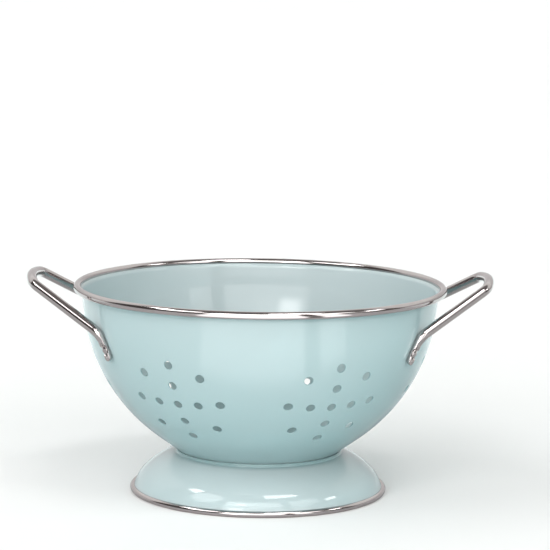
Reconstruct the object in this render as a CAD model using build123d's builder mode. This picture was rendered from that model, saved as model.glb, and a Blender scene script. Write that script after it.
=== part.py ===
from build123d import *
from math import acos, asin, atan2, cos, hypot, radians, sin, tan
import os

os.makedirs("parts", exist_ok=True)

# An enamelled colander on a flared foot. The origin is on the floor under the bowl's centre, +Z is up,
# the handles point along +X and -X, and -Y is the front. Lengths are millimetres, angles degrees.

# Rim band: a split tube of thin stainless strip, pressed over the bowl's lip
rim_radius = 120.0            # over the outside of the band
rim_bead_diameter = 5.0
band_sheet = 0.5

# Bowl: a shallow round bottom, a cone, a spherical body, a steep wall and a lip turned outwards
bowl_sheet = 1.0
bottom_clearance = 9.5        # floor to the underside of the bowl
cone_angle = 36.1
cone_width = 17.1             # of the cone, seen from above
wall_draft = 5.6
wall_rise = 9.8               # height of the steep wall under the lip
rim_overhang = 5.6            # from the wall's outside to the band's outside
lip_radius = 2.5              # on the outside of the bend under the lip
lip_reach = 0.9               # of the lip's edge past the middle of the band
lip_drop = 0.8                # of the lip below the middle of the band

# Drain holes: flat star patterns, punched square to the bowl at the middle of each star
drain_hole_diameter = 6.0
star_height = 71.3            # of the middle of each star on the body
star_inner_radius = 14.2
star_outer_radius = 28.5
star_inner_count = 4
star_outer_count = 8
punch_depth = 9.0
pattern_turn = -1.7           # of the whole ring of stars, from the front
front_half_angle = 29.0       # between the front and the star on each side of it
back_half_angle = 33.5        # the same at the back

# Foot: a dome that flares from a short collar, with a welding flange under the bowl
foot_radius = 82.9            # over the outside of the band
foot_bead_diameter = 4.2
foot_sheet = 1.0
foot_tuck = 0.6               # of the foot's edge below the middle of its band
foot_flat = 0.2               # worn off the underside of the band
skirt_lean = 17.0             # from the vertical, at the foot's edge
skirt_length = 3.0
skirt_radius = 24.0
skirt_turn = 27.0
neck_inset = 13.2             # of the collar from the cone's outer edge
collar_height = 2.8
collar_fillet = 0.7
flange_width = 3.8            # under the bowl, seen from below
fit_clearance = 0.1           # between pieces that are pressed, welded or riveted together

# Handles: round bar, bent in a loop that leans up and out
bar_diameter = 6.5
handle_reach = 26.5           # of the middle of the grip past the outside of the rim band
handle_incline = 31.7
grip_radius = 100.0
grip_corner_radius = 10.0
grip_corner_offset = 21.4     # of the corner bend's centre from the middle of the grip
knee_radius = 9.0
tab_azimuth = 30.9            # of each rivet, from the X axis
rivet_height = 101.0
tab_slant = 22.0              # of the flattened end, from upright, its lower end away from the X axis
tab_tail = 4.4                # from the rivet down to the centre of the rounded end
tab_rise = 12.2               # from the rivet up to the bend
tab_thickness = 3.0
tab_back = 2.3                # from the bar's axis to the flat against the wall
tab_ramp = 6.0                # over which the outer flat runs out towards the bend
seat_depth = 1.2              # of the long seat pressed into the flat for the rivet's head
seat_length = 9.2
seat_width = 7.2              # more than the bar's, so the seat is open at both sides

# Rivets
rivet_shank_diameter = 3.6
rivet_head_diameter = 6.2
rivet_head_height = 1.8
rivet_head_edge = 0.3         # straight part of the head's side
rivet_inner_diameter = 6.0
rivet_inner_height = 1.1
rivet_inner_edge = 0.2

# Depth of a cut past the material it removes
overrun = 5.0


# Radii and heights that follow from the sizes above

rim_bead_radius = rim_bead_diameter / 2
rim_centre_radius = rim_radius - rim_bead_radius
wall_radius = rim_radius - rim_overhang
wall_start_radius = wall_radius - wall_rise * tan(radians(wall_draft))

# The bottom runs into the cone, the cone into the body and the body into the wall without a corner
body_radius = wall_start_radius / cos(radians(wall_draft))
cone_end_radius = body_radius * sin(radians(cone_angle))
cone_start_radius = cone_end_radius - cone_width
bottom_radius = cone_start_radius / sin(radians(cone_angle))
cone_start_height = bottom_clearance + bottom_radius * (1 - cos(radians(cone_angle)))
cone_end_height = cone_start_height + cone_width * tan(radians(cone_angle))
neck_radius = cone_end_radius - neck_inset
body_centre_height = cone_end_height + body_radius * cos(radians(cone_angle))
wall_top_height = body_centre_height - body_radius * sin(radians(wall_draft)) + wall_rise
lip_height = wall_top_height + lip_radius * (1 - sin(radians(wall_draft)))
lip_edge_radius = rim_centre_radius + lip_reach
rim_centre_height = lip_height + bowl_sheet / 2 + lip_drop

foot_bead_radius = foot_bead_diameter / 2
foot_centre_radius = foot_radius - foot_bead_radius
foot_centre_height = foot_bead_radius - foot_flat


def cone_height(radius):
    """Height of the cone's outside at a radius."""
    return cone_start_height + (radius - cone_start_radius) * tan(radians(cone_angle))


def body_plane(azimuth, height, slant=0.0):
    """A plane that touches the body's outside, its normal out of the bowl and its Y axis up the wall."""
    slope = acos((body_centre_height - height) / body_radius)
    around = radians(azimuth)
    normal = Vector(sin(slope) * cos(around), sin(slope) * sin(around), -cos(slope))
    centre = Vector(0, 0, body_centre_height) + normal * body_radius
    across = Vector(-sin(around), cos(around), 0)
    upwards = normal.cross(across)
    turned = across * cos(radians(slant)) + upwards * sin(radians(slant))
    return Plane(origin=centre, x_dir=turned, z_dir=normal)


rivet_azimuths = {
    "right_front": -tab_azimuth,
    "right_back": tab_azimuth,
    "left_back": 180 - tab_azimuth,
    "left_front": 180 + tab_azimuth,
}

# Bowl

star_azimuths = [
    -90 - front_half_angle, -90 + front_half_angle, 0,
    90 - back_half_angle, 90 + back_half_angle, 180,
]
star_planes = [body_plane(azimuth + pattern_turn, star_height) for azimuth in star_azimuths]
star_planes.append(Plane(origin=(0, 0, bottom_clearance), x_dir=(1, 0, 0), z_dir=(0, 0, -1)))
rivet_planes = {name: body_plane(azimuth, rivet_height) for name, azimuth in rivet_azimuths.items()}
rivet_hole_radius = rivet_shank_diameter / 2 + fit_clearance

with BuildSketch(Plane.XZ) as bowl_section:
    with BuildLine():
        bottom = JernArc(start=(0, bottom_clearance), tangent=(1, 0), radius=bottom_radius, arc_size=cone_angle)
        cone = Line(bottom @ 1, (cone_end_radius, cone_end_height))
        body = JernArc(start=cone @ 1, tangent=cone % 1, radius=body_radius, arc_size=90 - wall_draft - cone_angle)
        wall = Line(body @ 1, (wall_radius, wall_top_height))
        lip = JernArc(start=wall @ 1, tangent=wall % 1, radius=lip_radius, arc_size=wall_draft - 90)
        Line(lip @ 1, (lip_edge_radius, lip_height))
        offset(amount=bowl_sheet, side=Side.LEFT)
    make_face()

with BuildPart() as bowl:
    add(bowl_section.sketch)
    revolve(axis=Axis.Z)
    # Each punch starts clear of the sheet, outside the bowl
    with Locations(*[plane.offset(overrun) for plane in star_planes]):
        Hole(radius=drain_hole_diameter / 2, depth=overrun + punch_depth)
        with PolarLocations(star_inner_radius, star_inner_count):
            Hole(radius=drain_hole_diameter / 2, depth=overrun + punch_depth)
        with PolarLocations(star_outer_radius, star_outer_count):
            Hole(radius=drain_hole_diameter / 2, depth=overrun + punch_depth)
    with Locations(*[plane.offset(overrun) for plane in rivet_planes.values()]):
        Hole(radius=rivet_hole_radius, depth=overrun + bowl_sheet + overrun)

bowl.part.label = "bowl"
export_step(bowl.part, "parts/bowl.step")


# Rim band

with BuildSketch(Plane.XZ) as rim_section:
    with Locations((rim_centre_radius, rim_centre_height)):
        Circle(rim_bead_radius)
        Circle(rim_bead_radius - band_sheet, mode=Mode.SUBTRACT)
    offset(bowl_section.sketch, amount=fit_clearance, mode=Mode.SUBTRACT)

with BuildPart() as rim_band:
    add(rim_section.sketch)
    revolve(axis=Axis.Z)

rim_band.part.label = "rim_band"
export_step(rim_band.part, "parts/rim_band.step")


# Foot

collar_foot = (neck_radius, cone_height(neck_radius) - collar_height)
collar_top = (neck_radius, cone_height(neck_radius) - fit_clearance)
flange_edge_radius = neck_radius - flange_width
flange_drop = foot_sheet / cos(radians(cone_angle))
collar_inner_radius = neck_radius - foot_sheet

with BuildSketch(Plane.XZ) as foot_section:
    with BuildLine():
        skirt = PolarLine(
            start=(foot_centre_radius, foot_centre_height - foot_tuck),
            length=skirt_length,
            angle=90 + skirt_lean,
        )
        flare = JernArc(start=skirt @ 1, tangent=skirt % 1, radius=skirt_radius, arc_size=skirt_turn)
        dome = TangentArc(flare @ 1, collar_foot, tangent=flare % 1)
        dome_inner_end = dome @ 1 + (dome % 1).rotate(Axis.Z, 90) * foot_sheet
        offset(amount=foot_sheet, side=Side.LEFT)
    make_face()
    with BuildLine():
        Polyline(
            collar_foot,
            collar_top,
            (flange_edge_radius, cone_height(flange_edge_radius) - fit_clearance),
            (flange_edge_radius, cone_height(flange_edge_radius) - fit_clearance - flange_drop),
            (collar_inner_radius, cone_height(collar_inner_radius) - fit_clearance - flange_drop),
            (collar_inner_radius, dome_inner_end.Y),
            dome_inner_end,
            close=True,
        )
    make_face()
    fillet(foot_section.vertices().sort_by_distance(collar_foot)[0], collar_fillet)
    fillet(foot_section.vertices().sort_by_distance(collar_top)[0], collar_fillet)

with BuildPart() as foot:
    add(foot_section.sketch)
    revolve(axis=Axis.Z)

foot.part.label = "foot"
export_step(foot.part, "parts/foot.step")


# Foot band

with BuildSketch(Plane.XZ) as foot_band_section:
    with Locations((foot_centre_radius, foot_centre_height)):
        Circle(foot_bead_radius)
        Circle(foot_bead_radius - band_sheet, mode=Mode.SUBTRACT)
    with Locations((foot_centre_radius, 0)):
        Rectangle(foot_bead_diameter, overrun, align=(Align.CENTER, Align.MAX), mode=Mode.SUBTRACT)
    offset(foot_section.sketch, amount=fit_clearance, mode=Mode.SUBTRACT)

with BuildPart() as foot_band:
    add(foot_band_section.sketch)
    revolve(axis=Axis.Z)

foot_band.part.label = "foot_band"
export_step(foot_band.part, "parts/foot_band.step")


# Handles

bar_radius = bar_diameter / 2
bar_height = tab_back + fit_clearance          # of the bar's axis over the wall, along the flattened end
tab_front_height = bar_height - tab_back + tab_thickness
seat_height = tab_front_height - seat_depth


def bend_plane(knee):
    """The leaning plane of the loop: X up and out along the grip's middle, Y along the grip."""
    incline = radians(handle_incline)
    outwards = (cos(incline), 0, sin(incline))
    return Plane(origin=(knee.X, 0, knee.Z), x_dir=outwards, z_dir=(-sin(incline), 0, cos(incline)))


def make_handle(tab):
    """The right handle, from the plane of its back end; a half is made and mirrored to the front."""
    tail = tab.from_local_coords((0, -tab_tail, bar_height))
    knee = tab.from_local_coords((0, tab_rise, bar_height))
    loop = bend_plane(knee)

    # The grip's arc, the corner's arc and the straight leg touch one another
    reach = (rim_radius + handle_reach - knee.X) / cos(radians(handle_incline))
    grip_centre = reach - grip_radius
    corner_turn = asin(grip_corner_offset / (grip_radius - grip_corner_radius))
    corner = (grip_centre + (grip_radius - grip_corner_radius) * cos(corner_turn), grip_corner_offset)
    leg_span = hypot(corner[0], knee.Y - corner[1])
    leg_angle = atan2(knee.Y - corner[1], -corner[0]) - acos(grip_corner_radius / leg_span)

    def on_corner(angle):
        return loop.from_local_coords(
            (corner[0] + grip_corner_radius * cos(angle), corner[1] + grip_corner_radius * sin(angle), 0)
        )

    def on_grip(angle):
        return loop.from_local_coords((grip_centre + grip_radius * cos(angle), grip_radius * sin(angle), 0))

    leg_end = on_corner(leg_angle)
    half_corner = on_corner((leg_angle + corner_turn) / 2)
    corner_end = on_corner(corner_turn)

    with BuildLine() as axis_line:
        FilletPolyline(tail, knee, leg_end, radius=knee_radius)
        ThreePointArc(leg_end, half_corner, corner_end)
        ThreePointArc(corner_end, on_grip(corner_turn / 2), on_grip(0))

    with BuildPart() as half:
        with BuildSketch(Plane(origin=axis_line.wire() @ 0, z_dir=axis_line.wire() % 0)):
            Circle(bar_radius)
        sweep(path=axis_line.wire())
        with Locations(tail):
            Sphere(bar_radius)
        # Flat against the wall
        with BuildSketch(tab.offset(fit_clearance)):
            with Locations((0, tab_rise - overrun)):
                Rectangle(2 * (bar_diameter + overrun), 2 * (tab_tail + tab_rise + overrun))
        extrude(amount=-bar_diameter, mode=Mode.SUBTRACT)
        # Outer flat, which runs out before the bend
        with BuildSketch(Plane(origin=tab.origin, x_dir=tab.y_dir, z_dir=tab.x_dir)):
            with BuildLine():
                Polyline(
                    (-tab_tail - bar_radius - overrun, tab_front_height),
                    (tab_rise - tab_ramp, tab_front_height),
                    (tab_rise, bar_height + bar_radius),
                    (tab_rise, bar_height + bar_radius + overrun),
                    (-tab_tail - bar_radius - overrun, bar_height + bar_radius + overrun),
                    close=True,
                )
            make_face()
        extrude(amount=bar_diameter, both=True, mode=Mode.SUBTRACT)
        # Seat for the rivet's head, and the rivet's hole
        with BuildSketch(tab.offset(seat_height)):
            SlotOverall(seat_length, seat_width, rotation=90)
        extrude(amount=overrun, mode=Mode.SUBTRACT)
        with BuildSketch(tab):
            Circle(rivet_hole_radius)
        extrude(amount=bar_diameter, both=True, mode=Mode.SUBTRACT)

    with BuildPart() as whole:
        add(half.part)
        mirror(about=Plane.XZ)
    return whole.part


back_tab = body_plane(tab_azimuth, rivet_height, tab_slant)
right_part = make_handle(back_tab)

with BuildPart() as handle_right:
    add(right_part)

with BuildPart() as handle_left:
    add(mirror(right_part, about=Plane.YZ, mode=Mode.PRIVATE))

handle_right.part.label = "handle_right"
export_step(handle_right.part, "parts/handle_right.step")
handle_left.part.label = "handle_left"
export_step(handle_left.part, "parts/handle_left.step")


# Rivets: a domed head in the seat, a shank, and a closed head inside the bowl

inner_face = -bowl_sheet - fit_clearance
outer_face = seat_height + fit_clearance

for name, plane in rivet_planes.items():
    with BuildPart() as rivet:
        with BuildSketch(Plane(origin=plane.origin, x_dir=plane.x_dir, z_dir=plane.x_dir.cross(plane.z_dir))):
            with BuildLine():
                head = TangentArc(
                    (0, outer_face + rivet_head_height),
                    (rivet_head_diameter / 2, outer_face + rivet_head_edge),
                    tangent=(1, 0),
                )
                Polyline(
                    head @ 1,
                    (rivet_head_diameter / 2, outer_face),
                    (rivet_shank_diameter / 2, outer_face),
                    (rivet_shank_diameter / 2, inner_face),
                    (rivet_inner_diameter / 2, inner_face),
                    (rivet_inner_diameter / 2, inner_face - rivet_inner_edge),
                )
                closed_head = TangentArc(
                    (0, inner_face - rivet_inner_height),
                    (rivet_inner_diameter / 2, inner_face - rivet_inner_edge),
                    tangent=(1, 0),
                )
                Line(closed_head @ 0, head @ 0)
            make_face()
        revolve(axis=Axis(plane.origin, plane.z_dir))
    rivet.part.label = "rivet_" + name
    export_step(rivet.part, "parts/rivet_" + name + ".step")

print("overall height", round(rim_centre_height + rim_bead_radius, 2))
print("neck height", round(cone_height(neck_radius), 2))
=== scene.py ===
# %% [markdown]
# # An enamelled colander on a foot
# The real object is ten pieces: a pressed and enamelled bowl full of drain holes, an enamelled foot
# welded under it, a rolled steel band over each of their raw edges, and two bent bar handles with two
# rivets each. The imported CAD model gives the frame, in metres with +Z up. Its sizes are written again here
# in millimetres, as a maker would write them, and each finished piece is scaled down at the end.

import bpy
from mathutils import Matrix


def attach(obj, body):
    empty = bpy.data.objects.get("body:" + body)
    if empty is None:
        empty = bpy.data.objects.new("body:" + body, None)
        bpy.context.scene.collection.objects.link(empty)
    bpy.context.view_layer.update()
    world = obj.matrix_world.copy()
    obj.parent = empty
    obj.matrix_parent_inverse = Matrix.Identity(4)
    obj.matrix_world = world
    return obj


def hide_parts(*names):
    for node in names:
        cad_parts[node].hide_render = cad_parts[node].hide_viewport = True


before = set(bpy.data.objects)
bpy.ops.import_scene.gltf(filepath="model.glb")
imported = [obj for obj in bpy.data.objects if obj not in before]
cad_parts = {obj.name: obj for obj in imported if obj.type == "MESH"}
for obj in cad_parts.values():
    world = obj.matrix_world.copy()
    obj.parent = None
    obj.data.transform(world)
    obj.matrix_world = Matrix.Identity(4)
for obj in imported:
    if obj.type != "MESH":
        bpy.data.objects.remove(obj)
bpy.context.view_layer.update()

# %% Python helpers and units
from math import acos, asin, atan2, cos, degrees, hypot, pi, radians, sin, tan

import bmesh
import bpy
from mathutils import Matrix, Vector

MM = 0.001


def smooth_share(value):
    """0 to 1, with no corner at either end."""
    value = min(max(value, 0.0), 1.0)
    return value * value * (3 - 2 * value)


def kept(items, kind):
    """The vertices, edges or faces among the items that an operator returned."""
    return [item for item in items if isinstance(item, kind)]


# %% [markdown]
# ## Sizes
# Everything below follows from a few sizes that can be measured on the object: the rim, the sheet, the
# angle of the cone under the bowl, and so on. Named sizes are easier to mend than lists of points.

# %% Sizes of the sheet metal pieces
RIM_RADIUS, RIM_BEAD, BAND_SHEET = 120.0, 2.5, 0.5
SHEET = 1.0
BOTTOM_CLEARANCE, CONE_ANGLE, CONE_WIDTH = 9.5, radians(36.1), 17.1
WALL_DRAFT, WALL_RISE, RIM_OVERHANG = radians(5.6), 9.8, 5.6
LIP_RADIUS, LIP_REACH, LIP_DROP = 2.5, 0.9, 0.8
FOOT_RADIUS, FOOT_BEAD, FOOT_TUCK, FOOT_FLAT = 82.9, 2.1, 0.6, 0.2
SKIRT_LEAN, SKIRT_LENGTH, SKIRT_RADIUS, SKIRT_TURN = radians(17), 3.0, 24.0, radians(27)
NECK_INSET, COLLAR_HEIGHT, CREASE_RADIUS, SHOULDER_RADIUS, FLANGE_WIDTH = 13.2, 2.8, 0.7, 0.7, 3.8
FIT = 0.1

WALL_RADIUS = RIM_RADIUS - RIM_OVERHANG
BODY_RADIUS = (WALL_RADIUS - WALL_RISE * tan(WALL_DRAFT)) / cos(WALL_DRAFT)
CONE_END = BODY_RADIUS * sin(CONE_ANGLE)
CONE_START = CONE_END - CONE_WIDTH
BOTTOM_RADIUS = CONE_START / sin(CONE_ANGLE)
BOTTOM_CENTRE = BOTTOM_CLEARANCE + BOTTOM_RADIUS
CONE_START_HEIGHT = BOTTOM_CENTRE - BOTTOM_RADIUS * cos(CONE_ANGLE)
BODY_CENTRE = CONE_START_HEIGHT + CONE_WIDTH * tan(CONE_ANGLE) + BODY_RADIUS * cos(CONE_ANGLE)
WALL_HEADING = pi / 2 - WALL_DRAFT
WALL_TOP = BODY_CENTRE - BODY_RADIUS * sin(WALL_DRAFT) + WALL_RISE
LIP_CENTRE = (WALL_RADIUS + LIP_RADIUS * cos(WALL_DRAFT), WALL_TOP - LIP_RADIUS * sin(WALL_DRAFT))
LIP_HEIGHT = LIP_CENTRE[1] + LIP_RADIUS
RIM_CENTRE = (RIM_RADIUS - RIM_BEAD, LIP_HEIGHT + SHEET / 2 + LIP_DROP)
FOOT_CENTRE = (FOOT_RADIUS - FOOT_BEAD, FOOT_BEAD - FOOT_FLAT)
NECK_RADIUS = CONE_END - NECK_INSET
print("rim height", round(RIM_CENTRE[1] + RIM_BEAD, 2), "neck radius", round(NECK_RADIUS, 2))

# %% [markdown]
# ## Drawing a profile
# Pressed and rolled pieces are round, so each one starts as a profile in the XZ plane. A profile here is
# a list of stations: radius, height and heading, the direction in which the line runs there. The metal is
# on the left of the line. The heading costs nothing to keep, and it gives the exact surface normal later.

# %% Stations along straight runs and bends
def run(path, length, steps=1):
    """The path goes on straight ahead."""
    radius, height, heading = path[-1]
    for step in range(1, steps + 1):
        share = length * step / steps
        path.append((radius + share * cos(heading), height + share * sin(heading), heading))


def bend(path, bend_radius, turn, steps):
    """The path turns left for a positive turn and right for a negative one."""
    radius, height, heading = path[-1]
    side = 1 if turn > 0 else -1
    centre = (radius - side * bend_radius * sin(heading), height + side * bend_radius * cos(heading))
    for step in range(1, steps + 1):
        now = heading + turn * step / steps
        reach = side * bend_radius
        path.append((centre[0] + reach * sin(now), centre[1] - reach * cos(now), now))


def sheet_outline(path, thickness, end_steps=4, fold=(), inner_corner=None):
    """The closed outline of a sheet: the path, a round end, the path's other side, and a round end.
    The stations in a tight fold share one inner corner."""
    outline = list(path)
    bend(outline, thickness / 2, pi, end_steps)
    back = []
    for number, (radius, height, heading) in enumerate(path):
        inside = (radius - thickness * sin(heading), height + thickness * cos(heading))
        if number in fold:
            inside = inner_corner
        back.append((*inside, heading + pi))
    outline += back[-2::-1]
    bend(outline, thickness / 2, pi, end_steps)
    return outline[:-1]


# %% Turning a profile round the axis
TURN_STEPS = 192
WELD = 0.0005


def turned(stations, closed, steps=TURN_STEPS):
    """A bmesh of the stations, spun once round the Z axis, with each heading kept on its vertices."""
    bm = bmesh.new()
    heading_layer = bm.verts.layers.float.new("heading")
    verts = []
    for radius, height, heading in stations:
        vert = bm.verts.new((radius, 0, height))
        vert[heading_layer] = heading
        verts.append(vert)
    pairs = list(zip(verts, verts[1:]))
    if closed:
        pairs.append((verts[-1], verts[0]))
    edges = [bm.edges.new(pair) for pair in pairs]
    bmesh.ops.spin(
        bm, geom=verts + edges, cent=(0, 0, 0), axis=(0, 0, 1), angle=2 * pi, steps=steps, use_merge=True
    )
    bmesh.ops.remove_doubles(bm, verts=bm.verts, dist=WELD)
    bmesh.ops.recalc_face_normals(bm, faces=bm.faces)
    return bm


def turned_normal(co, heading):
    """The surface normal, on the right of the heading, at a point of a spun profile."""
    out = Vector((co.x, co.y, 0)).normalized()
    return out * sin(heading) - Vector((0, 0, cos(heading)))


# %% [markdown]
# ## Finishing a piece
# Every piece ends the same way: it is scaled from millimetres to metres, becomes an object at the
# origin, rides on the CAD's root body and stands for its CAD node.
# Custom normals are given to the pieces whose exact normals are known, so that glossy enamel reflects
# cleanly even where the mesh has holes cut through it.

# %% Helpers that finish a piece
def stand_in(bm, name, normals=None):
    """The finished piece that replaces the CAD node of the same name, with its normals if known."""
    bm.verts.index_update()
    ordered = [normals[vert] for vert in bm.verts] if normals else None
    bmesh.ops.scale(bm, vec=(MM, MM, MM), verts=bm.verts)
    mesh = bpy.data.meshes.new(name)
    bm.to_mesh(mesh)
    bm.free()
    mesh.shade_smooth()
    if ordered:
        mesh.normals_split_custom_set_from_vertices(ordered)
    piece = bpy.data.objects.new("visual_" + name, mesh)
    bpy.context.scene.collection.objects.link(piece)
    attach(piece, "root")
    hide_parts(name)
    triangles = sum(len(face.vertices) - 2 for face in mesh.polygons)
    print(piece.name, "vertices", len(mesh.vertices), "triangles", triangles)
    return piece


def heading_normals(bm):
    """The normals of a spun piece, from the headings on its vertices."""
    layer = bm.verts.layers.float["heading"]
    return {vert: turned_normal(vert.co, vert[layer]) for vert in bm.verts}


# %% [markdown]
# ## The bowl
# The real bowl is one sheet, pressed, punched and then enamelled, so every hole has a soft round edge
# where the glass has run over it. A bevel on a Boolean cut would catch on the small faces beside each
# hole. Here the holes are cut from the outer skin alone, a little too wide. The inner skin is a copy of
# the outer one, pushed in by the sheet's thickness, and each pair of hole edges is joined by a half round
# of small rings.

# %% The bowl's profile
BOTTOM_STEPS, CONE_STEPS, BODY_STEPS, WALL_STEPS, LIP_STEPS = 18, 6, 32, 4, 8

bowl_path = [(0.0, BOTTOM_CLEARANCE, 0.0)]
bend(bowl_path, BOTTOM_RADIUS, CONE_ANGLE, BOTTOM_STEPS)
run(bowl_path, CONE_WIDTH / cos(CONE_ANGLE), CONE_STEPS)
bend(bowl_path, BODY_RADIUS, WALL_HEADING - CONE_ANGLE, BODY_STEPS)
run(bowl_path, WALL_RISE / cos(WALL_DRAFT), WALL_STEPS)
bend(bowl_path, LIP_RADIUS, -WALL_HEADING, LIP_STEPS)
run(bowl_path, RIM_CENTRE[0] + LIP_REACH - LIP_CENTRE[0])
print("stations", len(bowl_path), "lip height", round(bowl_path[-1][1], 2))


# %% The nearest point of the bowl's outside
def bowl_skin(co):
    """The nearest point of the bowl's outer surface to a point, and the outward normal there."""
    radius, height = hypot(co.x, co.y), co.z
    slope = atan2(radius, BODY_CENTRE - height)
    if height > LIP_CENTRE[1] and radius > WALL_RADIUS:
        heading = max(0.0, atan2(LIP_CENTRE[0] - radius, height - LIP_CENTRE[1]))
        near = (radius, LIP_HEIGHT)
        if heading:
            near = (LIP_CENTRE[0] - LIP_RADIUS * sin(heading), LIP_CENTRE[1] + LIP_RADIUS * cos(heading))
    elif slope > WALL_HEADING:
        heading = WALL_HEADING
        along = (radius - WALL_RADIUS) * cos(heading) + (height - WALL_TOP) * sin(heading)
        near = (WALL_RADIUS + along * cos(heading), WALL_TOP + along * sin(heading))
    elif slope > CONE_ANGLE:
        heading = slope
        near = (BODY_RADIUS * sin(heading), BODY_CENTRE - BODY_RADIUS * cos(heading))
    elif atan2(radius, BOTTOM_CENTRE - height) > CONE_ANGLE:
        heading = CONE_ANGLE
        along = (radius - CONE_START) * cos(heading) + (height - CONE_START_HEIGHT) * sin(heading)
        near = (CONE_START + along * cos(heading), CONE_START_HEIGHT + along * sin(heading))
    else:
        heading = atan2(radius, BOTTOM_CENTRE - height)
        near = (BOTTOM_RADIUS * sin(heading), BOTTOM_CENTRE - BOTTOM_RADIUS * cos(heading))
    out = Vector((co.x, co.y, 0)).normalized()
    return out * near[0] + Vector((0, 0, near[1])), turned_normal(co, heading)


# %% Where the holes are
# The CAD's holes are 6 mm across. They are drawn 5.4 mm at the throat, nearer to the 5.1 mm or so that
# the photograph shows at this scale, as if glass had built up on their edges.
HOLE_RADIUS, EDGE_ROUND = 2.7, SHEET / 2
STAR_HEIGHT, STAR_RINGS = 71.3, ((0.0, 1), (14.2, 4), (28.5, 8))
PATTERN_TURN, FRONT_HALF_ANGLE, BACK_HALF_ANGLE = -1.7, 29.0, 33.5
TAB_AZIMUTH, RIVET_HEIGHT, RIVET_HOLE = 30.9, 101.0, 1.9
DROP_ROUNDS = 6


def body_frame(azimuth, height, slant=0.0):
    """A place on the body's outside: its centre, the way across, the way up the wall, the normal."""
    slope = acos((BODY_CENTRE - height) / BODY_RADIUS)
    around = radians(azimuth)
    normal = Vector((sin(slope) * cos(around), sin(slope) * sin(around), -cos(slope)))
    level = Vector((-sin(around), cos(around), 0))
    across = level * cos(radians(slant)) + normal.cross(level) * sin(radians(slant))
    return Vector((0, 0, BODY_CENTRE)) + normal * BODY_RADIUS, across, normal.cross(across), normal


def star_holes(centre, across, up, normal):
    """The hole centres of one flat star pattern, dropped on the bowl's outside along the normal."""
    spots = []
    for ring_radius, count in STAR_RINGS:
        for number in range(count):
            angle = 2 * pi * number / count
            spot = centre + across * (ring_radius * cos(angle)) + up * (ring_radius * sin(angle))
            for _ in range(DROP_ROUNDS):
                spot -= normal * (spot - bowl_skin(spot)[0]).dot(normal)
            spots.append((spot, normal, HOLE_RADIUS))
    return spots


star_azimuths = [
    -90 - FRONT_HALF_ANGLE, -90 + FRONT_HALF_ANGLE, 0, 90 - BACK_HALF_ANGLE, 90 + BACK_HALF_ANGLE, 180
]
stars = [body_frame(azimuth + PATTERN_TURN, STAR_HEIGHT) for azimuth in star_azimuths]
bottom = Vector((0, 0, BOTTOM_CLEARANCE))
stars.append((bottom, Vector((1, 0, 0)), Vector((0, -1, 0)), Vector((0, 0, -1))))
holes = [hole for star in stars for hole in star_holes(*star)]
rivet_frames = {
    "right_front": body_frame(-TAB_AZIMUTH, RIVET_HEIGHT),
    "right_back": body_frame(TAB_AZIMUTH, RIVET_HEIGHT),
    "left_back": body_frame(180 - TAB_AZIMUTH, RIVET_HEIGHT),
    "left_front": body_frame(180 + TAB_AZIMUTH, RIVET_HEIGHT),
}
holes += [(place[0], place[3], RIVET_HOLE) for place in rivet_frames.values()]
print("holes", len(holes))

# %% Cut the holes from a closed copy of the outer skin
CUT_DEPTH, CUT_SIDES = 8.0, 48

bm = turned(bowl_path, closed=False)
top_edges = [edge for edge in bm.edges if edge.is_boundary]
top = bmesh.ops.extrude_edge_only(bm, edges=top_edges)["geom"]
bmesh.ops.translate(bm, verts=kept(top, bmesh.types.BMVert), vec=(0, 0, CUT_DEPTH))
bmesh.ops.contextual_create(bm, geom=kept(top, bmesh.types.BMEdge))
bmesh.ops.recalc_face_normals(bm, faces=bm.faces)
blank_mesh = bpy.data.meshes.new("bowl_blank")
bm.to_mesh(blank_mesh)
bm.free()
blank = bpy.data.objects.new("bowl_blank", blank_mesh)

bm = bmesh.new()
for spot, normal, hole_radius in holes:
    upright = normal.to_track_quat("Z", "Y").to_matrix().to_4x4()
    bmesh.ops.create_cone(
        bm, cap_ends=True, segments=CUT_SIDES, radius1=hole_radius + EDGE_ROUND,
        radius2=hole_radius + EDGE_ROUND, depth=CUT_DEPTH, matrix=Matrix.Translation(spot) @ upright,
    )
punch_mesh = bpy.data.meshes.new("punches")
bm.to_mesh(punch_mesh)
bm.free()
punches = bpy.data.objects.new("punches", punch_mesh)

for helper in (blank, punches):
    bpy.context.scene.collection.objects.link(helper)
cut = blank.modifiers.new("drain_holes", "BOOLEAN")
cut.operation, cut.solver, cut.object = "DIFFERENCE", "EXACT", punches
cut_mesh = bpy.data.meshes.new_from_object(blank.evaluated_get(bpy.context.evaluated_depsgraph_get()))
for helper_mesh in (blank_mesh, punch_mesh):  # the object that shows a mesh goes with it
    bpy.data.meshes.remove(helper_mesh)
print("faces after the cut", len(cut_mesh.polygons))

# %% Keep the outer skin, and lay its points on the true surface
SKIN_TOLERANCE, SKIN_WELD = 0.15, 0.01

bm = bmesh.new()
bm.from_mesh(cut_mesh)
bpy.data.meshes.remove(cut_mesh)
# Two marks for the enamel's colour: one for the holes' rounded edges, which is partly thin glass and partly
# painted shade, and one for painted shade inside the bowl.
edge_glass_and_shade_layer = bm.verts.layers.float.new("edge_glass_and_shade")
painted_shade_layer = bm.verts.layers.float.new("painted_shade_amount")
off_skin = [vert for vert in bm.verts if (vert.co - bowl_skin(vert.co)[0]).length > SKIN_TOLERANCE]
bmesh.ops.delete(bm, geom=off_skin, context="VERTS")
bmesh.ops.remove_doubles(bm, verts=bm.verts, dist=SKIN_WELD)
normals = {}
for vert in bm.verts:
    vert.co, normals[vert] = bowl_skin(vert.co)
raw_edges = [edge for edge in bm.edges if edge.is_boundary]
hole_edges = [edge for edge in raw_edges if edge.verts[0].co.xy.length < WALL_RADIUS]
print("skin faces", len(bm.faces), "hole edges", len(hole_edges))
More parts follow.
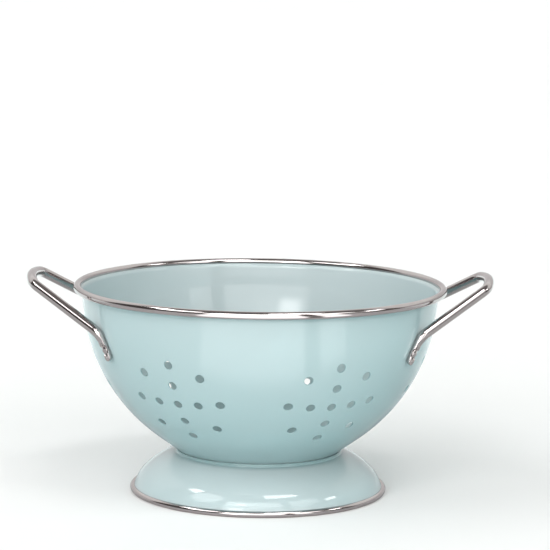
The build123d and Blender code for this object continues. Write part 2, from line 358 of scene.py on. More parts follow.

# %% Add the inner skin
# Inside, painted shade deepens the colour from 95 mm high down to the bottom, to match the tone seen
# through the holes. It stands for gathered glaze, which is a guess: on the real bowl it may be shade.
# Each point of a hole's edge keeps its place, its normal and the way to the hole's middle, for the
# rounding.
SHADE_TOP, SHADE_DEPTH, INNER_SHADE = 95.0, 50.0, 0.7

origin = {}
for vert in {vert for edge in hole_edges for vert in edge.verts}:
    spot = min(holes, key=lambda hole: (hole[0] - vert.co).length)[0]
    inwards = spot - vert.co
    inwards = (inwards - normals[vert] * inwards.dot(normals[vert])).normalized()
    origin[vert] = (vert.co.copy(), normals[vert], inwards)

outer_verts = list(bm.verts)
copied = bmesh.ops.duplicate(bm, geom=outer_verts + list(bm.edges) + list(bm.faces))["geom"]
inner_verts = kept(copied, bmesh.types.BMVert)
for vert in inner_verts:
    normal = bowl_skin(vert.co)[1]
    vert.co -= normal * SHEET
    vert[painted_shade_layer] = INNER_SHADE * smooth_share((SHADE_TOP - vert.co.z) / SHADE_DEPTH)
    normals[vert] = -normal
bmesh.ops.reverse_faces(bm, faces=kept(copied, bmesh.types.BMFace))
print("skins", len(outer_verts), "and", len(inner_verts), "vertices")

# %% Round the edges between the two skins
ROUND_STEPS, RING_WELD = 6, 0.002

ring_edges = hole_edges
for step in range(1, ROUND_STEPS + 1):
    angle = pi * step / ROUND_STEPS
    grown = bmesh.ops.extrude_edge_only(bm, edges=ring_edges)["geom"]
    ring_edges = kept(grown, bmesh.types.BMEdge)
    new_verts = set(kept(grown, bmesh.types.BMVert))
    for vert in new_verts:
        neighbours = [edge.other_vert(vert) for edge in vert.link_edges]
        parent = next(other for other in neighbours if other not in new_verts)
        base, normal, inwards = origin[parent]
        vert.co = base - normal * (EDGE_ROUND * (1 - cos(angle))) + inwards * (EDGE_ROUND * sin(angle))
        # The mark for the edge's darker colour, partly thin glass and partly painted shade, is 1 halfway
        # round the edge.
        vert[edge_glass_and_shade_layer] = sin(angle)
        normals[vert] = normal * cos(angle) + inwards * sin(angle)
        origin[vert] = origin[parent]
last_ring = {vert for edge in ring_edges for vert in edge.verts}
inner_rims = [vert for vert in inner_verts if vert.is_boundary]
bmesh.ops.remove_doubles(bm, verts=list(last_ring) + inner_rims, dist=RING_WELD)
normals = {vert: normal for vert, normal in normals.items() if vert.is_valid}
lip_edges = [edge for edge in bm.edges if edge.is_boundary]
bmesh.ops.bridge_loops(bm, edges=lip_edges)
print("open edges left", sum(edge.is_boundary for edge in bm.edges))
print("loose vertices", sum(not vert.link_faces for vert in bm.verts))
bowl = stand_in(bm, "bowl", normals)

# %% [markdown]
# ## The foot
# The foot is a second pressed dome. Its skirt is steep at the edge, flares inwards in two arcs, creases
# up into a short collar and ends in a welding flange under the bowl. It could be drawn as two curves and
# joined, but one path with a thickness says all that. The crease under the bowl lies in shade, and it is
# darkened with painted shade: an attribute marks how near each point is to it, so that the enamel can be
# darker there. The crease under the bowl looks darker, which may be gathered glaze or shade.

# %% The foot's profile
SKIRT_STEPS, FLARE_STEPS, DOME_STEPS, CREASE_STEPS = 3, 14, 20, 6
COLLAR_STEPS, SHOULDER_STEPS, FLANGE_STEPS = 2, 10, 2

foot_path = [(FOOT_CENTRE[0], FOOT_CENTRE[1] - FOOT_TUCK, pi / 2 + SKIRT_LEAN)]
run(foot_path, SKIRT_LENGTH, SKIRT_STEPS)
bend(foot_path, SKIRT_RADIUS, SKIRT_TURN, FLARE_STEPS)


def cone_height(radius):
    """Height of the cone's outside at a radius."""
    return CONE_START_HEIGHT + (radius - CONE_START) * tan(CONE_ANGLE)


flare_radius, flare_height, flare_heading = foot_path[-1]
chord = (NECK_RADIUS - flare_radius, cone_height(NECK_RADIUS) - COLLAR_HEIGHT - flare_height)
cross = cos(flare_heading) * chord[1] - sin(flare_heading) * chord[0]
dome_radius = (chord[0] ** 2 + chord[1] ** 2) / (2 * cross)
dome_centre = flare_radius - dome_radius * sin(flare_heading)
crease_heading = pi - asin((NECK_RADIUS + CREASE_RADIUS - dome_centre) / (dome_radius + CREASE_RADIUS))
bend(foot_path, dome_radius, crease_heading - flare_heading, DOME_STEPS)
bend(foot_path, CREASE_RADIUS, pi / 2 - crease_heading, CREASE_STEPS)
flange_turn = pi / 2 + CONE_ANGLE
collar_corner = cone_height(NECK_RADIUS) - FIT
collar_top = collar_corner - SHOULDER_RADIUS * tan(flange_turn / 2)
run(foot_path, collar_top - foot_path[-1][1], COLLAR_STEPS)
shoulder_start = len(foot_path) - 1
bend(foot_path, SHOULDER_RADIUS, flange_turn, SHOULDER_STEPS)
shoulder = range(shoulder_start, len(foot_path))
flange_reach = foot_path[-1][0] - NECK_RADIUS + FLANGE_WIDTH
run(foot_path, flange_reach / cos(CONE_ANGLE), FLANGE_STEPS)
inner_corner = (NECK_RADIUS - SHEET, collar_corner - SHEET * tan(flange_turn / 2))
print("dome radius", round(dome_radius, 1), "collar's top", round(collar_top, 2))

# %% Make the foot, and mark how near its points are to the crease
CREASE_SHADE_WIDTH = 5.0

bm = turned(sheet_outline(foot_path, SHEET, fold=shoulder, inner_corner=inner_corner), closed=True)
crease_shade_layer = bm.verts.layers.float.new("painted_shade_amount")
# Painted shade: full at the collar and inside it, fading out 5 mm beyond it.
for vert in bm.verts:
    out_of_collar = (vert.co.xy.length - NECK_RADIUS) / CREASE_SHADE_WIDTH
    vert[crease_shade_layer] = max(1 - max(out_of_collar, 0.0), 0.0) ** 2
foot = stand_in(bm, "foot", heading_normals(bm))

# %% [markdown]
# ## The bands
# Both raw edges wear a rolled band of thin stainless strip, bent round like a split tube and pressed on.
# A torus would close over the sheet. A spun strip keeps its split, which faces the sheet that it grips, so
# its place is worked out from where that sheet crosses the bead.

# %% The rim band
BEAD_STEPS, BAND_TURN_STEPS = 40, 240


def meeting_angle(centre, radius, other_centre, other_radius):
    """Direction, from the first circle's centre, of the inner point where two circles meet."""
    gap = (other_centre[0] - centre[0], other_centre[1] - centre[1])
    span = hypot(*gap)
    half = acos((radius**2 + span**2 - other_radius**2) / (2 * radius * span))
    return atan2(gap[1], gap[0]) - half


def band_outline(centre, bead_radius, start, sweep, steps):
    """A strip's closed outline, rolled about a centre from a start angle."""
    path = [(centre[0] + bead_radius * cos(start), centre[1] + bead_radius * sin(start), start + pi / 2)]
    bend(path, bead_radius, sweep, steps)
    return sheet_outline(path, BAND_SHEET)


under_lip = meeting_angle(RIM_CENTRE, RIM_BEAD, LIP_CENTRE, LIP_RADIUS - FIT) % (2 * pi)
over_lip = meeting_angle(RIM_CENTRE, RIM_BEAD, LIP_CENTRE, LIP_RADIUS + SHEET + FIT) % (2 * pi)
print("the lip enters between", round(degrees(over_lip)), "and", round(degrees(under_lip)), "degrees")
sweep = (over_lip - under_lip) % (2 * pi)
outline = band_outline(RIM_CENTRE, RIM_BEAD, under_lip, sweep, BEAD_STEPS)
bm = turned(outline, closed=True, steps=BAND_TURN_STEPS)
rim_band = stand_in(bm, "rim_band", heading_normals(bm))

# %% The foot band
# It is worn flat where the colander stands on it.
skirt_heading = pi / 2 + SKIRT_LEAN
tuck = FOOT_TUCK * cos(skirt_heading)
outside_skirt = SKIRT_LEAN + acos((FIT + tuck) / FOOT_BEAD)
inside_skirt = SKIRT_LEAN + acos((tuck - SHEET - FIT) / FOOT_BEAD)
sweep = 2 * pi - (inside_skirt - outside_skirt)
outline = band_outline(FOOT_CENTRE, FOOT_BEAD, inside_skirt, sweep, BEAD_STEPS)
bm = turned(outline, closed=True, steps=BAND_TURN_STEPS)
normals = heading_normals(bm)
for vert in bm.verts:
    if vert.co.z < 0:
        vert.co.z = 0
        normals[vert] = Vector((0, 0, -1))
foot_band = stand_in(bm, "foot_band", normals)

# %% [markdown]
# ## The handles
# Each handle is a round bar: a grip with a slight arc, two tighter corners, straight legs that lean down
# to the bowl, a knee, and an end pressed flat against the wall with a long seat sunk in it for the rivet.
# A ring of vertices is extruded and turned along that line, as a bar goes through a bender. The flats are
# then pressed with soft limits, and the half is mirrored.

# %% Sizes of a handle
BAR_RADIUS, HANDLE_REACH, HANDLE_INCLINE = 3.25, 146.5, radians(31.7)
GRIP_RADIUS, CORNER_RADIUS, CORNER_OFFSET, KNEE_RADIUS = 100.0, 10.0, 21.4, 9.0
TAB_SLANT, TAB_TAIL, TAB_RISE, TAB_THICKNESS, TAB_BACK, TAB_RAMP = 22.0, 4.4, 12.2, 3.0, 2.3, 6.0
SEAT_DEPTH, SEAT_LENGTH, SEAT_WIDTH = 1.2, 9.2, 7.2
BAR_HEIGHT = TAB_BACK + FIT
TAB_FRONT = BAR_HEIGHT - TAB_BACK + TAB_THICKNESS

tab_origin, tab_across, tab_up, tab_normal = body_frame(TAB_AZIMUTH, RIVET_HEIGHT, TAB_SLANT)
tail = tab_origin - tab_up * TAB_TAIL + tab_normal * BAR_HEIGHT
knee = tab_origin + tab_up * TAB_RISE + tab_normal * BAR_HEIGHT
loop_x = Vector((cos(HANDLE_INCLINE), 0, sin(HANDLE_INCLINE)))
loop_normal = Vector((-sin(HANDLE_INCLINE), 0, cos(HANDLE_INCLINE)))
loop_origin = Vector((knee.x, 0, knee.z))


def on_loop(x, y):
    """A point of the leaning plane that the loop lies in."""
    return loop_origin + loop_x * x + Vector((0, y, 0))


reach = (HANDLE_REACH - knee.x) / cos(HANDLE_INCLINE)
grip_centre = reach - GRIP_RADIUS
corner_turn = asin(CORNER_OFFSET / (GRIP_RADIUS - CORNER_RADIUS))
corner_x = grip_centre + (GRIP_RADIUS - CORNER_RADIUS) * cos(corner_turn)
leg_span = hypot(corner_x, knee.y - CORNER_OFFSET)
leg_angle = atan2(knee.y - CORNER_OFFSET, -corner_x) - acos(CORNER_RADIUS / leg_span)
leg_start = on_loop(
    corner_x + CORNER_RADIUS * cos(leg_angle), CORNER_OFFSET + CORNER_RADIUS * sin(leg_angle)
)
leg_way = (knee - leg_start).normalized()
knee_axis = leg_way.cross(-tab_up).normalized()
knee_turn = leg_way.angle(-tab_up)
knee_reach = KNEE_RADIUS * tan(knee_turn / 2)
knee_centre = knee - leg_way * knee_reach + knee_axis.cross(leg_way) * KNEE_RADIUS
print("corner", round(degrees(corner_turn), 1), "leg", round(degrees(leg_angle), 1),
      "knee", round(degrees(knee_turn), 1))

# %% Extrude the bar along its line
BAR_SIDES, POLE_WELD = 48, 0.01
GRIP_STEPS, CORNER_STEPS, LEG_STEPS, KNEE_STEPS, TAB_STEPS, END_STEPS = 10, 18, 8, 14, 52, 12


def next_ring(bm, edges, rotation=None, centre=None, shift=None):
    """One more ring of the bar, turned about a centre or moved straight on."""
    grown = bmesh.ops.extrude_edge_only(bm, edges=edges)["geom"]
    verts = kept(grown, bmesh.types.BMVert)
    if rotation:
        bmesh.ops.rotate(bm, cent=centre, matrix=rotation, verts=verts)
    if shift:
        bmesh.ops.translate(bm, vec=shift, verts=verts)
    return kept(grown, bmesh.types.BMEdge), verts


def bent(bm, edges, centre, axis, turn, steps):
    """The bar goes on round a bend."""
    rotation = Matrix.Rotation(turn / steps, 3, axis)
    for _ in range(steps):
        edges, _verts = next_ring(bm, edges, rotation=rotation, centre=centre)
    return edges


def straight(bm, edges, way, length, steps):
    """The bar goes straight on."""
    for _ in range(steps):
        edges, _verts = next_ring(bm, edges, shift=way * (length / steps))
    return edges


def half_bar():
    """The bar from the middle of the grip to the round end of the back tab."""
    bm = bmesh.new()
    along_grip = Vector((0, 1, 0)).to_track_quat("Z", "X").to_matrix().to_4x4()
    placing = Matrix.Translation(on_loop(reach, 0)) @ along_grip
    bmesh.ops.create_circle(bm, segments=BAR_SIDES, radius=BAR_RADIUS, matrix=placing)
    edges = list(bm.edges)
    corner_centre = on_loop(corner_x, CORNER_OFFSET)
    edges = bent(bm, edges, on_loop(grip_centre, 0), loop_normal, corner_turn, GRIP_STEPS)
    edges = bent(bm, edges, corner_centre, loop_normal, leg_angle - corner_turn, CORNER_STEPS)
    edges = straight(bm, edges, leg_way, (knee - leg_start).length - knee_reach, LEG_STEPS)
    edges = bent(bm, edges, knee_centre, knee_axis, knee_turn, KNEE_STEPS)
    edges = straight(bm, edges, -tab_up, TAB_TAIL + TAB_RISE - knee_reach, TAB_STEPS)
    for step in range(1, END_STEPS + 1):
        angle = pi / 2 * step / END_STEPS
        edges, verts = next_ring(bm, edges)
        for vert in verts:
            spoke = vert.co - tail
            spoke = (spoke - tab_up * spoke.dot(tab_up)).normalized()
            vert.co = tail + spoke * (BAR_RADIUS * cos(angle)) - tab_up * (BAR_RADIUS * sin(angle))
    bmesh.ops.remove_doubles(bm, verts=verts, dist=POLE_WELD)
    return bm


# %% Press the flats and the rivet's seat
# Soft limits leave a rounded edge, as a press does: SOFT_BACK against the wall and SOFT_FRONT under the
# punch. RAMP_CURVE and RAMP_CLEAR lift the punch off the bar where the flat runs out.
SOFT_BACK, SOFT_FRONT, SEAT_START, SEAT_SLOPE = 0.5, 0.35, 0.25, 0.6
RAMP_CURVE, RAMP_CLEAR, PRESS_ZONE = 1.3, 20, 40


def soft_least(first, second, soft):
    """The lesser of two heights, with a rounded corner where they cross."""
    gap = max(soft - abs(first - second), 0) / soft
    return min(first, second) - gap * gap * soft / 4


def press_tab(bm):
    """Presses the bar's end between the wall and a punch, and sinks the seat."""
    full_height = BAR_HEIGHT + BAR_RADIUS
    for vert in bm.verts:
        place = vert.co - tab_origin
        x, y, z = place.dot(tab_across), place.dot(tab_up), place.dot(tab_normal)
        if y > TAB_RISE + BAR_RADIUS * 2 or place.length > PRESS_ZONE:
            continue
        pressed = -soft_least(-z, -FIT, SOFT_BACK)
        ramp = (y - TAB_RISE + TAB_RAMP) / TAB_RAMP
        cap = TAB_FRONT + (full_height - TAB_FRONT) * max(ramp, 0) ** RAMP_CURVE
        cap += RAMP_CLEAR * max(ramp - 1, 0) ** 2
        half_straight = (SEAT_LENGTH - SEAT_WIDTH) / 2
        inside = SEAT_WIDTH / 2 - hypot(x, max(abs(y) - half_straight, 0))
        cap -= SEAT_DEPTH * smooth_share((inside + SEAT_START) / SEAT_SLOPE)
        pressed = max(soft_least(pressed, cap, SOFT_FRONT), FIT)
        vert.co += tab_normal * (pressed - z)


# %% Both handles
MIRROR_WELD = 0.001


def handle(name, flip):
    """A whole handle, from the pressed half and its mirror image."""
    bm = half_bar()
    press_tab(bm)
    half = list(bm.verts) + list(bm.edges) + list(bm.faces)
    bmesh.ops.mirror(bm, geom=half, matrix=Matrix.Identity(4), merge_dist=MIRROR_WELD, axis="Y")
    if flip:
        bmesh.ops.scale(bm, vec=(-1, 1, 1), verts=bm.verts)
    bmesh.ops.remove_doubles(bm, verts=bm.verts, dist=WELD)
    bmesh.ops.recalc_face_normals(bm, faces=bm.faces)
    print(name, "open edges", sum(edge.is_boundary for edge in bm.edges))
    return stand_in(bm, name)


handles = [handle("handle_right", False), handle("handle_left", True)]

# %% [markdown]
# ## The rivets
# A rivet is turned, so its profile is spun too: the closed head inside the bowl, the shank through both
# sheets, and a shallow domed head in the seat. The head is a little smaller than the seat, so that the
# seat's wall shows as a dark ring round it. The rivet is made upright at the origin, and then laid on its
# place.

# %% The rivet's profile
SHANK, HEAD, HEAD_HEIGHT, HEAD_EDGE = 1.8, 2.85, 1.75, 0.3
CLOSED_HEAD, CLOSED_HEIGHT, CLOSED_EDGE, CORNER = 3.0, 1.1, 0.2, 0.08
CLOSED_STEPS, CORNER_BEND_STEPS, HEAD_STEPS, RIVET_TURN_STEPS = 10, 3, 12, 40


def corner(turn):
    """A small rounded corner in the rivet's path."""
    bend(rivet_path, CORNER, turn, CORNER_BEND_STEPS)


seat_height = TAB_FRONT - SEAT_DEPTH + FIT
shank_length = seat_height + SHEET + FIT
rivet_path = [(0.0, -SHEET - FIT - CLOSED_HEIGHT, 0.0)]
closed_radius, closed_rise = CLOSED_HEAD - CORNER, CLOSED_HEIGHT - CLOSED_EDGE
closed_turn = 2 * atan2(closed_rise, closed_radius)
bend(rivet_path, (closed_radius**2 + closed_rise**2) / (2 * closed_rise), closed_turn, CLOSED_STEPS)
corner(pi / 2 - closed_turn)
run(rivet_path, -SHEET - FIT - CORNER - rivet_path[-1][1])
corner(pi / 2)
run(rivet_path, rivet_path[-1][0] - SHANK - CORNER)
corner(-pi / 2)
run(rivet_path, shank_length - 2 * CORNER, 2)
corner(-pi / 2)
run(rivet_path, HEAD - CORNER - rivet_path[-1][0])
corner(pi / 2)
run(rivet_path, HEAD_EDGE - CORNER)
head_turn = 2 * atan2(HEAD_HEIGHT - HEAD_EDGE, HEAD)
corner(pi / 2 - head_turn)
bend(rivet_path, rivet_path[-1][0] / sin(head_turn), head_turn, HEAD_STEPS)
print("rivet from", round(rivet_path[0][1], 2), "to", round(rivet_path[-1][1], 2))

# %% Make the four rivets
rivets = []
for name, (centre, across, up, normal) in rivet_frames.items():
    bm = turned(rivet_path, closed=False, steps=RIVET_TURN_STEPS)
    normals = heading_normals(bm)
    turn = Matrix((across, up, normal)).transposed()
    normals = {vert: turn @ value for vert, value in normals.items()}
    bmesh.ops.transform(bm, matrix=Matrix.Translation(centre) @ turn.to_4x4(), verts=bm.verts)
    rivets.append(stand_in(bm, "rivet_" + name, normals))

# %% [markdown]
# ## Materials
# Two finishes cover the whole object. Both are made from nodes alone, on object coordinates, so they stay
# on the surface from every side. One helper adds a node with its settings and its links.

# %% Helpers for materials
def tone(code):
    """A linear colour from an sRGB hex value."""
    linear = []
    for start in (0, 2, 4):
        level = int(code[start:start + 2], 16) / 255
        linear.append(level / 12.92 if level <= 0.04045 else ((level + 0.055) / 1.055) ** 2.4)
    return linear + [1.0]


def add_node(tree, kind, sockets=(), **settings):
    """A node with its settings, and each socket given a value or linked to another node's output."""
    made = tree.nodes.new(kind)
    for key, value in settings.items():
        setattr(made, key, value)
    for key, value in dict(sockets).items():
        if isinstance(value, bpy.types.NodeSocket):
            tree.links.new(value, made.inputs[key])
        else:
            made.inputs[key].default_value = value
    return made


def new_material(name):
    """An empty material with its output node, and its tree."""
    material = bpy.data.materials.new(name)
    material.use_nodes = True
    material.node_tree.nodes.clear()
    return material, material.node_tree


def blend(factor, first, second):
    """Two colours, mixed by a factor from 0 to 1."""
    return add_node(tree, "ShaderNodeMix", {"Factor": factor, "A": first, "B": second},
                    data_type="RGBA").outputs["Result"]


def math_node(operation, first, second=0.0, third=0.0):
    """One sum of two or three numbers."""
    return add_node(tree, "ShaderNodeMath", {0: first, 1: second, 2: third}, operation=operation).outputs[0]


def per_metre(millimetres):
    """The scale of a noise whose features are this many millimetres across."""
    return 1 / (millimetres * MM)


# %% [markdown]
# ## The enamel
# Vitreous enamel is powdered glass, fused on pressed steel. The eye sees a pale colour under a clear, hard
# gloss, with a faint orange peel from the fusing and slow clouds where the glaze is thicker. A coat over a
# dull base says that better than one glossy layer. The colour is deepened on the holes' edges, in the
# foot's crease and towards the bottom inside the bowl. In the crease and inside the bowl this is painted
# shade. On the holes' edges it is partly thin glass and partly painted shade. The three tints were chosen
# to match tones.

# %% Vitreous enamel on pressed steel
CLOUD_WIDTH, PEEL_WIDTH, PEEL_HEIGHT = 70, 7, 0.1
EDGE_GLASS_AND_SHADE_TINT, PAINTED_SHADE_TINT = 0.6, 0.6

enamel, tree = new_material("vitreous_enamel_on_pressed_steel")
where = add_node(tree, "ShaderNodeTexCoord").outputs["Object"]
cloud = add_node(tree, "ShaderNodeTexNoise", {
    "Vector": where, "Scale": per_metre(CLOUD_WIDTH), "Detail": 2.0,
})
peel = add_node(tree, "ShaderNodeTexNoise", {
    "Vector": where, "Scale": per_metre(PEEL_WIDTH), "Detail": 1.0,
})
# Painted shade deepens the colour in the foot's crease and inside the bowl towards its bottom. On the holes'
# edges the darkening is partly thin glass and partly painted shade.
edge_glass_and_shade_mark = add_node(tree, "ShaderNodeAttribute", attribute_name="edge_glass_and_shade")
painted_shade_mark = add_node(tree, "ShaderNodeAttribute", attribute_name="painted_shade_amount")
glaze = blend(cloud.outputs["Fac"], tone("A0B1B3"), tone("A4B4B6"))
edge_glass_and_shade_tint = math_node("MULTIPLY", edge_glass_and_shade_mark.outputs["Fac"], EDGE_GLASS_AND_SHADE_TINT)
deep = math_node("MULTIPLY_ADD", painted_shade_mark.outputs["Fac"], PAINTED_SHADE_TINT, edge_glass_and_shade_tint)
bump = add_node(tree, "ShaderNodeBump", {
    "Height": peel.outputs["Fac"], "Strength": 0.12, "Distance": PEEL_HEIGHT * MM,
}).outputs["Normal"]
shader = add_node(tree, "ShaderNodeBsdfPrincipled", {
    "Base Color": blend(deep, glaze, tone("4F7A7C")), "Roughness": 0.28, "Specular IOR Level": 0.1,
    "IOR": 1.5, "Coat Weight": 0.8, "Coat Roughness": 0.04, "Normal": bump, "Coat Normal": bump,
})
add_node(tree, "ShaderNodeOutputMaterial", {"Surface": shader.outputs[0]})
for piece in (bowl, foot):
    piece.data.materials.append(enamel)
print(enamel.name, "nodes", len(tree.nodes))

# %% [markdown]
# ## The stainless steel
# The bands are rolled strip and the handles drawn bar, both polished. The eye sees a sharp, slightly wavy
# mirror with a warm grey tone. A perfect mirror would look like liquid, so a low bump makes the waves, and
# a finer noise makes some places a little duller, as polishing does.

# %% Polished stainless steel
HAZE_WIDTH, WAVE_WIDTH, WAVE_HEIGHT = 9, 14, 0.2

steel, tree = new_material("polished_stainless_steel")
where = add_node(tree, "ShaderNodeTexCoord").outputs["Object"]
haze = add_node(tree, "ShaderNodeTexNoise", {
    "Vector": where, "Scale": per_metre(HAZE_WIDTH), "Detail": 3.0,
})
wave = add_node(tree, "ShaderNodeTexNoise", {
    "Vector": where, "Scale": per_metre(WAVE_WIDTH), "Detail": 1.0,
})
dull = add_node(tree, "ShaderNodeMapRange", {
    "Value": haze.outputs["Fac"], "To Min": 0.07, "To Max": 0.13,
})
bump = add_node(tree, "ShaderNodeBump", {
    "Height": wave.outputs["Fac"], "Strength": 0.25, "Distance": WAVE_HEIGHT * MM,
})
shader = add_node(tree, "ShaderNodeBsdfPrincipled", {
    "Base Color": tone("B9B3B2"), "Metallic": 1.0, "Roughness": dull.outputs[0],
    "Normal": bump.outputs["Normal"],
})
add_node(tree, "ShaderNodeOutputMaterial", {"Surface": shader.outputs[0]})
for piece in (rim_band, foot_band, *handles, *rivets):
    piece.data.materials.append(steel)
print(steel.name, "nodes", len(tree.nodes))

# %% [markdown]
# ## The studio
# The colander stands on a plain pale floor under soft light. Polished metal only looks like metal when it
# has something dark to reflect next to something bright, so a big window stands in front, a narrower one
# beside it with a dark gap between them, and dark walls on both sides. The floor and the dome answer each
# kind of ray by itself: what the camera sees, what the gloss mirrors and what lights the enamel. That is
# a trick and not a real room, because no single room was found that suits both the metal and the enamel.
# The angles are in degrees. An azimuth is 0 in front of the colander and grows towards +X.

# %% Angles and tones of the studio
WINDOW, GAP, SIDE_WINDOW = (-33, 25), (25, 34), (34, 50)
WINDOW_EDGE = 1.5
DARK = (0.12, 0.105, 0.1, 1)


def grey(level):
    """An even radiance."""
    return (level, level, level, 1)


def smooth_band(value, low, high, soft):
    """1 between two values, 0 outside them, with soft edges."""
    steps = []
    for middle in (low, high):
        steps.append(add_node(tree, "ShaderNodeMapRange", {
            "Value": value, "From Min": middle - soft, "From Max": middle + soft,
        }, interpolation_type="SMOOTHSTEP").outputs[0])
    return math_node("SUBTRACT", *steps)


# %% The floor's disc
# It lies a hair under the foot band, so that the two faces don't fight for the same place.
FLOOR_RADIUS, FLOOR_DEPTH = 30.0, 0.00002

bm = bmesh.new()
bmesh.ops.create_circle(bm, cap_ends=True, segments=64, radius=FLOOR_RADIUS,
                        matrix=Matrix.Translation((0, 0, -FLOOR_DEPTH)))
floor_mesh = bpy.data.meshes.new("floor")
bm.to_mesh(floor_mesh)
bm.free()
floor = bpy.data.objects.new("floor", floor_mesh)
bpy.context.scene.collection.objects.link(floor)
print("floor faces", len(floor_mesh.polygons))

# %% The floor's paint
# The camera sees pale paint. The gloss sees painted light and shade on the floor: darker in front and bright
# behind, a painted glow of both windows' light on it, and painted dark where the gap between them is. The
# enamel is lit from below by a faint blue-green.
BEHIND_START, BEHIND_END = 0.1, 0.35
GLOW_START, GLOW_END, GLOW_STRENGTH = 0.15, 0.2, 1.6

floor_paint, tree = new_material("pale_worktop")
where = add_node(tree, "ShaderNodeTexCoord").outputs["Object"]
cloud = add_node(tree, "ShaderNodeTexNoise", {"Vector": where, "Scale": per_metre(180), "Detail": 2.0})
paint = blend(cloud.outputs["Fac"], tone("E2E2E1"), tone("E6E6E5"))
ray = add_node(tree, "ShaderNodeLightPath").outputs
place = add_node(tree, "ShaderNodeSeparateXYZ", {"Vector": where}).outputs
behind = add_node(tree, "ShaderNodeMapRange", {
    "Value": place["Y"], "From Min": BEHIND_START, "From Max": BEHIND_END,
}).outputs[0]
near = math_node("MULTIPLY", place["Y"], -1.0)
bearing = math_node("MULTIPLY", math_node("ARCTAN2", place["X"], near), 180 / pi)
far_enough = add_node(tree, "ShaderNodeMapRange", {
    "Value": near, "From Min": GLOW_START, "From Max": GLOW_END,
}).outputs[0]
both_windows = math_node("ADD", smooth_band(bearing, *WINDOW, WINDOW_EDGE),
                         smooth_band(bearing, *SIDE_WINDOW, WINDOW_EDGE))
# Painted light: for glossy rays only, the floor glows where the windows' light would lie on it.
painted_window_glow = math_node("MULTIPLY", math_node("MULTIPLY", both_windows, far_enough), ray["Is Glossy Ray"])
gap = math_node("MULTIPLY", smooth_band(bearing, *GAP, WINDOW_EDGE), far_enough)
mirrored = blend(gap, blend(behind, (0.5, 0.49, 0.495, 1), (0.85, 0.9, 0.9, 1)), DARK)
returned = blend(ray["Is Diffuse Ray"], mirrored, (0.39, 0.64, 0.65, 1))
shader = add_node(tree, "ShaderNodeBsdfPrincipled", {
    "Base Color": blend(ray["Is Camera Ray"], returned, paint), "Roughness": 0.6,
    "Emission Color": (1.0, 1.0, 1.0, 1), "Emission Strength": math_node("MULTIPLY", painted_window_glow, GLOW_STRENGTH),
})
add_node(tree, "ShaderNodeOutputMaterial", {"Surface": shader.outputs[0]})
floor.data.materials.append(floor_paint)
print(floor_paint.name, "nodes", len(tree.nodes))

# %% [markdown]
# ## The dome
# The world is a dome of radiance, drawn from the direction of each ray. It starts as an even grade from
# left to right, and soft-edged patches are laid over it, each in its place and later ones on top. There are
# two such domes: one that gloss and metal mirror, and one that lights the enamel. An image of a studio
# would do the same, but these few angles can be read and changed.

# %% Directions and patches of the dome
world = bpy.data.worlds.new("studio")
bpy.context.scene.world = world
world.use_nodes = True
tree = world.node_tree
tree.nodes.clear()
direction = add_node(tree, "ShaderNodeTexCoord").outputs["Generated"]
parts = add_node(tree, "ShaderNodeSeparateXYZ", {"Vector": direction}).outputs
forward = math_node("MULTIPLY", parts["Y"], -1.0)
azimuth = math_node("MULTIPLY", math_node("ARCTAN2", parts["X"], forward), 180 / pi)
elevation = math_node("MULTIPLY", math_node("ARCSINE", parts["Z"]), 180 / pi)


def patch(azimuths, elevations, soft):
    """1 inside a soft-edged rectangle of the dome, 0 outside it."""
    across = smooth_band(azimuth, *azimuths, soft)
    return math_node("MULTIPLY", across, smooth_band(elevation, *elevations, soft))


def grade(value, low, high, low_radiance, high_radiance):
    """A radiance that runs from one colour to another."""
    share = add_node(tree, "ShaderNodeMapRange", {
        "Value": value, "From Min": low, "From Max": high,
    }).outputs[0]
    return blend(share, (*low_radiance, 1), (*high_radiance, 1))


# %% The dome that gloss and metal mirror
STRIP_ENDS = (-33, 66)

reflected = grade(parts["X"], -1.0, 1.0, (0.8, 0.78, 0.78), (0.62, 0.6, 0.6))
reflected = blend(smooth_band(elevation, 20, 120, 6), reflected, (1.05, 1.05, 1.03, 1))
reflected = blend(smooth_band(elevation, 52, 120, 5), reflected, (0.25, 0.235, 0.23, 1))
strip = grade(azimuth, *STRIP_ENDS, grey(6.2)[:3], grey(2.8)[:3])
for azimuths, elevations, soft, radiance in (
    ((-107, -33), (-10, 64), 5, (0.1, 0.09, 0.088, 1)),  # dark wall on the left
    ((66, 97), (-10, 64), 5, DARK),                      # dark wall on the right
    (STRIP_ENDS, (50, 64), 3, DARK),                     # dark lintel over the windows
    (STRIP_ENDS, (3, 31), 1, (0.45, 0.44, 0.44, 1)),     # wall between and beside them
    (WINDOW, (3, 31), 1, grey(2.4)),                     # the big window
    (SIDE_WINDOW, (3, 31), 1, grey(2.4)),                # the narrow one
    (STRIP_ENDS, (31, 44), 1, strip),                    # their brighter upper panes
    ((10, 58), (57, 68), 1, grey(12)),                   # four lamps
    ((-22, -12), (34, 40), 1, grey(12)),
    ((74, 88), (30, 36), 1, grey(12)),
    ((-98, -80), (48, 57), 1, grey(12)),
    (GAP, (-5, 50), 1, DARK),                            # the gap between the windows
    ((-33, 4), (14, 31), 4, grey(3.4)),                  # brighter sky on the left
    ((-28, -14), (14, 26), 3, grey(10)),                 # and its brightest place
):
    reflected = blend(patch(azimuths, elevations, soft), reflected, radiance)
print("nodes of the mirrored dome", len(tree.nodes))

# %% The dome that lights the enamel
FRONT_LIGHT = (-45, 56)

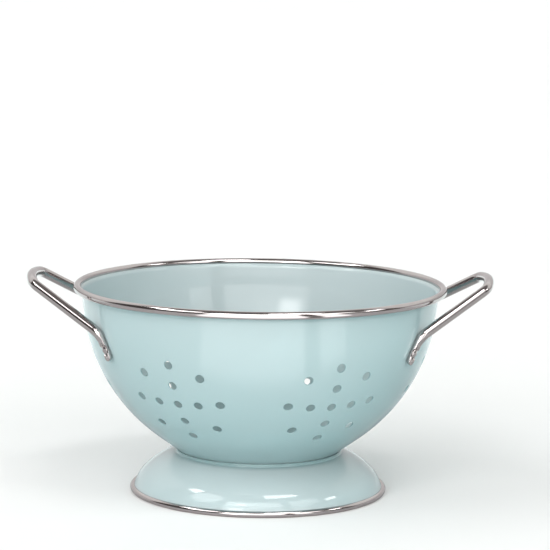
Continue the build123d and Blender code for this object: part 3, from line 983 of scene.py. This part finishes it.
lit = grade(parts["X"], -1.0, 1.0, (1.15, 1.15, 1.15), (0.13, 0.25, 0.25))
lit = blend(patch((115, 190), (-5, 50), 8), lit, (0.6, 0.65, 0.65, 1))
lit = blend(smooth_band(elevation, 45, 130, 8), lit, (0.42, 0.48, 0.48, 1))
lit = blend(patch((62, 110), (-20, 55), 10), lit, (0.12, 0.26, 0.26, 1))
front = grade(azimuth, *FRONT_LIGHT, (4.95, 4.3, 4.2), (3.05, 2.8, 2.75))
lit = blend(patch(FRONT_LIGHT, (3, 35), 3), lit, front)
print("nodes of both domes", len(tree.nodes))

# %% Choose a dome for each kind of ray
ray = add_node(tree, "ShaderNodeLightPath").outputs
dome = blend(ray["Is Diffuse Ray"], reflected, lit)
dome = blend(ray["Is Camera Ray"], dome, tone("F8F8F6"))
dome_light = add_node(tree, "ShaderNodeBackground", {"Color": dome, "Strength": 1.0})
add_node(tree, "ShaderNodeOutputWorld", {"Surface": dome_light.outputs[0]})
print("dome nodes", len(tree.nodes))

# %% [markdown]
# ## The key light
# The shadow in such a room is broad and falls to the right. A near lamp would light the floor unevenly, so
# this is a far light from the upper left, wide enough to keep the shadow's edge soft.

# %% The key light
KEY_AZIMUTH, KEY_ELEVATION, KEY_WIDTH, KEY_STRENGTH = radians(-60), radians(44), radians(26), 0.6

key_data = bpy.data.lights.new("key", "SUN")
key_data.energy = KEY_STRENGTH
key_data.angle = KEY_WIDTH
key = bpy.data.objects.new("key", key_data)
level = cos(KEY_ELEVATION)
towards = Vector((sin(KEY_AZIMUTH) * level, -cos(KEY_AZIMUTH) * level, sin(KEY_ELEVATION)))
key.rotation_euler = towards.to_track_quat("Z", "Y").to_euler()
bpy.context.scene.collection.objects.link(key)
print("key from", [round(value, 2) for value in towards])

# %% [markdown]
# ## The camera
# The camera stands where the photograph was taken from: about 1.7 m in front, 38 cm up, looking down by
# eight degrees through a long lens. The ellipses of the rim and of the foot fix all of these, once the
# rim is taken as 240 mm across.

# %% Place the camera
FOCAL_PIXELS, FRAME_PIXELS, SENSOR = 2649.8, 550, 36.0
PITCH, YAW, ROLL = radians(8.22), radians(0.29), radians(0.77)
CAMERA_PLACE = (0.00075, -1.6852, 0.384)
CLIP_START, CLIP_END = 0.01, 100.0

ahead = Vector((sin(YAW) * cos(PITCH), cos(YAW) * cos(PITCH), -sin(PITCH)))
right = Vector((cos(YAW), -sin(YAW), 0))
up = right.cross(ahead)
rolled_right = right * cos(ROLL) + up * sin(ROLL)
rolled_up = up * cos(ROLL) - right * sin(ROLL)
camera_data = bpy.data.cameras.new("camera")
camera_data.sensor_width = SENSOR
camera_data.lens = FOCAL_PIXELS / FRAME_PIXELS * SENSOR
camera_data.clip_start = CLIP_START
camera_data.clip_end = CLIP_END
camera = bpy.data.objects.new("camera", camera_data)
turn = Matrix((rolled_right, rolled_up, -ahead)).transposed()
camera.matrix_world = Matrix.Translation(CAMERA_PLACE) @ turn.to_4x4()
bpy.context.scene.collection.objects.link(camera)
bpy.context.scene.camera = camera
bpy.context.scene.view_settings.view_transform = "Standard"
print("lens", round(camera_data.lens, 1))
